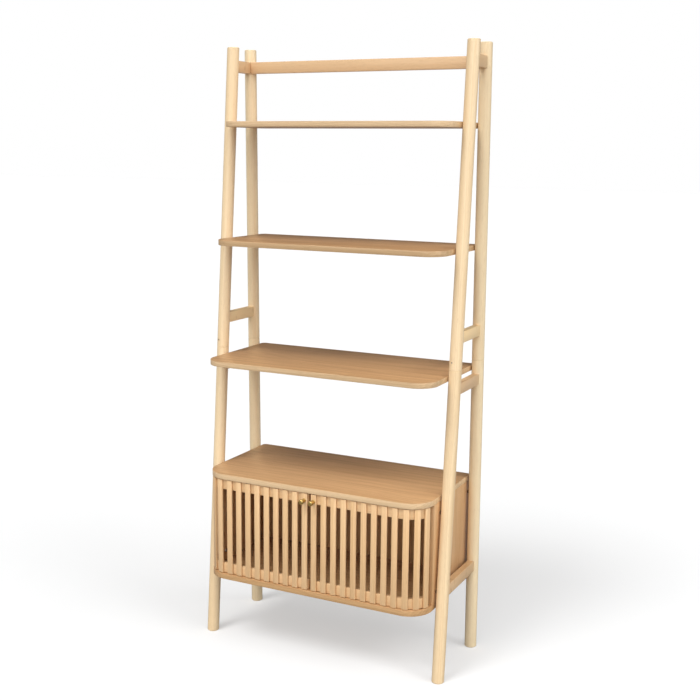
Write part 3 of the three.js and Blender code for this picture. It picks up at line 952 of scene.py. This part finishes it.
def add_bolt_and_spacer(row, side, side_name, level):
    height = BOLT_HEIGHTS[level - 1]
    y = pole_centre(row, side_name, height).y
    wall_low, wall_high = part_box(f"cabinet_side_{side_name}")
    inner, outer = (wall_high[0], wall_low[0]) if side < 0 else (wall_low[0], wall_high[0])
    bolt = turned(f"bolt_{row}_{side_name}_{level}", BOLT_HEAD, BOLT_KEY)
    add_piece(bolt, steel, "frame", (inner, y, height), (-side, 0, 0))
    spacer = turned(f"spacer_{row}_{side_name}_{level}", SPACER)
    add_piece(spacer, spacer_plastic, "frame",
              (outer + side * SPACER_GAP, y, height), (side, 0, 0))


for side, side_name in ((-1, "left"), (1, "right")):
    for row, facing in (("front", -1), ("rear", 1)):
        add_lock_screw(row, facing, side_name)
        for level in (1, 2):
            add_bolt_and_spacer(row, side, side_name, level)
print("4 lock screws, 8 bolts and 8 spacers")

# %% [markdown]
# ## Magnetic catch
#
# A catch under the cabinet's top holds both doors shut. It is a moulded case with rounded edges.
# A cube from the menu would have razor edges, so a helper makes a block between two corners and
# rounds all its edges.

# %% Catch housing
HOUSING_ROUNDING = 0.0012


def rounded_block(name, low, high, radius):
    """A block between two corners, in metres, with all its edges rounded."""
    work = bmesh.new()
    bmesh.ops.create_cube(work, size=1.0)
    for vertex in work.verts:
        vertex.co = Vector(a if c < 0 else b for a, b, c in zip(low, high, vertex.co))
    bmesh.ops.bevel(work, geom=work.edges, offset=radius, segments=3, profile=0.5, affect="EDGES")
    return mesh_from(work, name)


catch_low, catch_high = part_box("door_catch")
housing = add_piece(rounded_block("catch_housing", catch_low, catch_high, HOUSING_ROUNDING),
                    catch_plastic, "frame")
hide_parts("door_catch")
print("catch between", [round(v, 4) for v in (*catch_low, *catch_high)])

# %% [markdown]
# Two magnets sit in its front, one for each door: a black ferrite block between two steel plates.
# A thin steel strike plate sits on the back of each door and stops just short of its magnet, so
# a door opens without a piece scraping along another.

# %% Magnets and strike plates
MAGNET_FROM_MIDDLE = 0.0125
MAGNET_HALF = 0.006
MAGNET_DEPTH = 0.006
MAGNET_PROUD = 0.0003
MAGNET_ROUNDING = 0.0002
FERRITE_HALF = 0.0016
FERRITE_SUNK = 0.0001
PLATE_NEAR = 0.0017
PLATE_FAR = 0.0030
STRIKE_HALF = 0.0075
STRIKE_BELOW = 0.006
STRIKE_ABOVE = 0.0045
STRIKE_THICKNESS = 0.001
STRIKE_GAP = 0.0001
STRIKE_ROUNDING = 0.0003
CATCH_ROOM = 0.0018  # from the catch to the doors' rails
magnet_level = (catch_low[2] + catch_high[2]) / 2 - 0.001


def add_magnet_part(part, side_name, middle, finish, bottom, top, sunk=0.0):
    front = catch_low[1] - MAGNET_PROUD
    low = (middle - MAGNET_HALF, front + sunk, magnet_level + bottom)
    high = (middle + MAGNET_HALF, front + MAGNET_DEPTH, magnet_level + top)
    mesh = rounded_block(f"magnet_{part}_{side_name}", low, high, MAGNET_ROUNDING)
    add_piece(mesh, finish, "frame")


def add_strike_plate(side_name, middle):
    back = catch_low[1] - CATCH_ROOM
    low = (middle - STRIKE_HALF, back + STRIKE_GAP, magnet_level - STRIKE_BELOW)
    high = (middle + STRIKE_HALF, back + STRIKE_THICKNESS, magnet_level + STRIKE_ABOVE)
    mesh = rounded_block(f"strike_plate_{side_name}", low, high, STRIKE_ROUNDING)
    add_piece(mesh, steel, f"{side_name}_door")


for side, side_name in ((-1, "left"), (1, "right")):
    middle = side * MAGNET_FROM_MIDDLE
    add_magnet_part("ferrite", side_name, middle, ferrite, -FERRITE_HALF, FERRITE_HALF, FERRITE_SUNK)
    add_magnet_part("lower_plate", side_name, middle, steel, -PLATE_FAR, -PLATE_NEAR)
    add_magnet_part("upper_plate", side_name, middle, steel, PLATE_NEAR, PLATE_FAR)
    add_strike_plate(side_name, middle)
print("magnets stand", MAGNET_PROUD, "m proud, plates", CATCH_ROOM - STRIKE_THICKNESS, "m from the catch")

# %% [markdown]
# ## The studio floor
#
# The shelf stands on a seamless white sweep. A curved backdrop would show its bend from the
# side, but one large plane is enough if it has no visible far edge. The camera sees it as a
# white floor that glows a little, so that its open parts burn out to pure white and only the
# soft shadow shows. Light that bounces off it to the furniture comes from a darker grey, as from
# a floor that is mostly out of the lamps' reach.

# %% Floor
STUDIO_SIZE = 80.0
FLOOR_WHITE = (0.601, 0.604, 0.606, 1)
FLOOR_GREY = (0.33, 0.33, 0.33, 1)
FLOOR_GLOW = 0.37


def floor_finish():
    finish, tree, shader = new_finish("studio floor", Roughness=0.9, Specular_IOR_Level=0.0)
    seen = add_node(tree, "ShaderNodeLightPath").outputs["Is Camera Ray"]
    feed(tree, mix_colour(tree, seen, FLOOR_GREY, FLOOR_WHITE), shader.inputs["Base Color"])
    shader.inputs["Emission Color"].default_value = (1, 1, 1, 1)
    feed(tree, calculate(tree, "MULTIPLY", seen, FLOOR_GLOW), shader.inputs["Emission Strength"])
    return finish


def floor_plane():
    mesh = bpy.data.meshes.new("studio_floor")
    half = STUDIO_SIZE / 2
    corners = [(-half, -half, 0), (half, -half, 0), (half, half, 0), (-half, half, 0)]
    mesh.from_pydata(corners, [], [(0, 1, 2, 3)])
    mesh.materials.append(floor_finish())
    plane = bpy.data.objects.new("studio_floor", mesh)
    bpy.context.scene.collection.objects.link(plane)
    plane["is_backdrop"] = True


floor_plane()
print("floor is", STUDIO_SIZE, "m wide")

# %% [markdown]
# ## The air of the studio
#
# The air round the shelf is a dim grey, dimmer behind it than in front, which gives the round
# poles their darker outlines. Only the camera sees it as white.

# %% World
SURROUND_FRONT = 0.38
SURROUND_BACK = 0.14
ALL_BACK = 0.75  # how far towards the back a direction points, from -1 to 1
ALL_FRONT = -0.75

world = bpy.data.worlds.new("studio")
bpy.context.scene.world = world
world.use_nodes = True
air = world.node_tree
background = air.nodes["Background"]
background.inputs["Color"].default_value = (1, 1, 1, 1)
looking = add_node(air, "ShaderNodeTexCoord").outputs["Generated"]
to_the_back = add_node(air, "ShaderNodeSeparateXYZ", {0: looking}).outputs["Y"]
frontness = fade(air, to_the_back, ALL_BACK, ALL_FRONT)
surround = calculate(air, "MULTIPLY_ADD", frontness, SURROUND_FRONT - SURROUND_BACK, SURROUND_BACK)
seen_directly = add_node(air, "ShaderNodeLightPath").outputs["Is Camera Ray"]
feed(air, calculate(air, "MAXIMUM", surround, seen_directly), background.inputs["Strength"])
print("surround:", SURROUND_FRONT, "in front and", SURROUND_BACK, "behind")

# %% [markdown]
# ## Lamps
#
# Round poles need light that falls off to both sides, and slats need it to come past them into
# the cabinet only a little. Area lamps close by would brighten the top more than the feet, so
# the lamps here are far away and wide: a high key from the left, a fill from the right, a large
# soft front light and a low side light.

# %% Lamps
KEY = 1.15
FILL = 0.7
FRONT = 1.55
SIDE = 1.1


def far_light(name, turn, rise, spread, power):
    """turn is from straight in front towards the right, rise is above the horizon, in degrees."""
    light = bpy.data.lights.new(name, "SUN")
    light.energy = power
    light.angle = math.radians(spread)
    lamp = bpy.data.objects.new(name, light)
    turn = math.radians(turn)
    rise = math.radians(rise)
    level = math.cos(rise)
    towards = Vector((-level * math.sin(turn), level * math.cos(turn), -math.sin(rise)))
    lamp.rotation_euler = towards.to_track_quat("-Z", "Y").to_euler()
    bpy.context.scene.collection.objects.link(lamp)
    return lamp


lamps = [
    far_light("key light", -22, 57, 22, KEY),
    far_light("fill light", 76, 48, 26, FILL),
    far_light("front light", 10, 33, 70, FRONT),
    far_light("side light", 95, 18, 60, SIDE),
]
print("lamps:", [(lamp.name, round(lamp.data.energy, 2)) for lamp in lamps])

# %% [markdown]
# ## Camera
#
# A catalogue view: from the right and a little above, from the height of a standing person's
# eyes. The lens is a short telephoto, which keeps the poles almost parallel. The place and the
# three turns say all of it, so no tracking target is needed. The Standard view keeps white white,
# where a filmic one would grey it.

# %% Camera
CAMERA_PLACE = Vector((1.4633, -2.8642, 1.5030))
CAMERA_TURN = 0.45989
CAMERA_DIP = 0.17937
CAMERA_ROLL = 0.00995
CAMERA_LENS = 56.971
SENSOR_WIDTH = 36.0

lens = bpy.data.cameras.new("camera")
lens.lens = CAMERA_LENS
lens.sensor_width = SENSOR_WIDTH
camera = bpy.data.objects.new("camera", lens)
bpy.context.scene.collection.objects.link(camera)
camera.matrix_world = (Matrix.Translation(CAMERA_PLACE) @ Matrix.Rotation(CAMERA_TURN, 4, "Z")
                       @ Matrix.Rotation(math.pi / 2 - CAMERA_DIP, 4, "X")
                       @ Matrix.Rotation(CAMERA_ROLL, 4, "Z"))
bpy.context.scene.camera = camera
bpy.context.scene.view_settings.view_transform = "Standard"
print("camera at", [round(v, 2) for v in CAMERA_PLACE], "turned", round(math.degrees(CAMERA_TURN), 1))

# %% [markdown]
# ## Is it still the size the CAD says?
#
# The detailed pieces must not make the furniture bigger. Both boxes are measured, and the last line
# prints how far the visual box reaches past the CAD box, in mm.

# %% Sizes
seen_low, seen_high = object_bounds()
grown = [round(1000 * (v - c), 2) for v, c in zip((*seen_low, *seen_high), (*cad_low, *cad_high))]
print("visual box minus CAD box, mm:", grown)
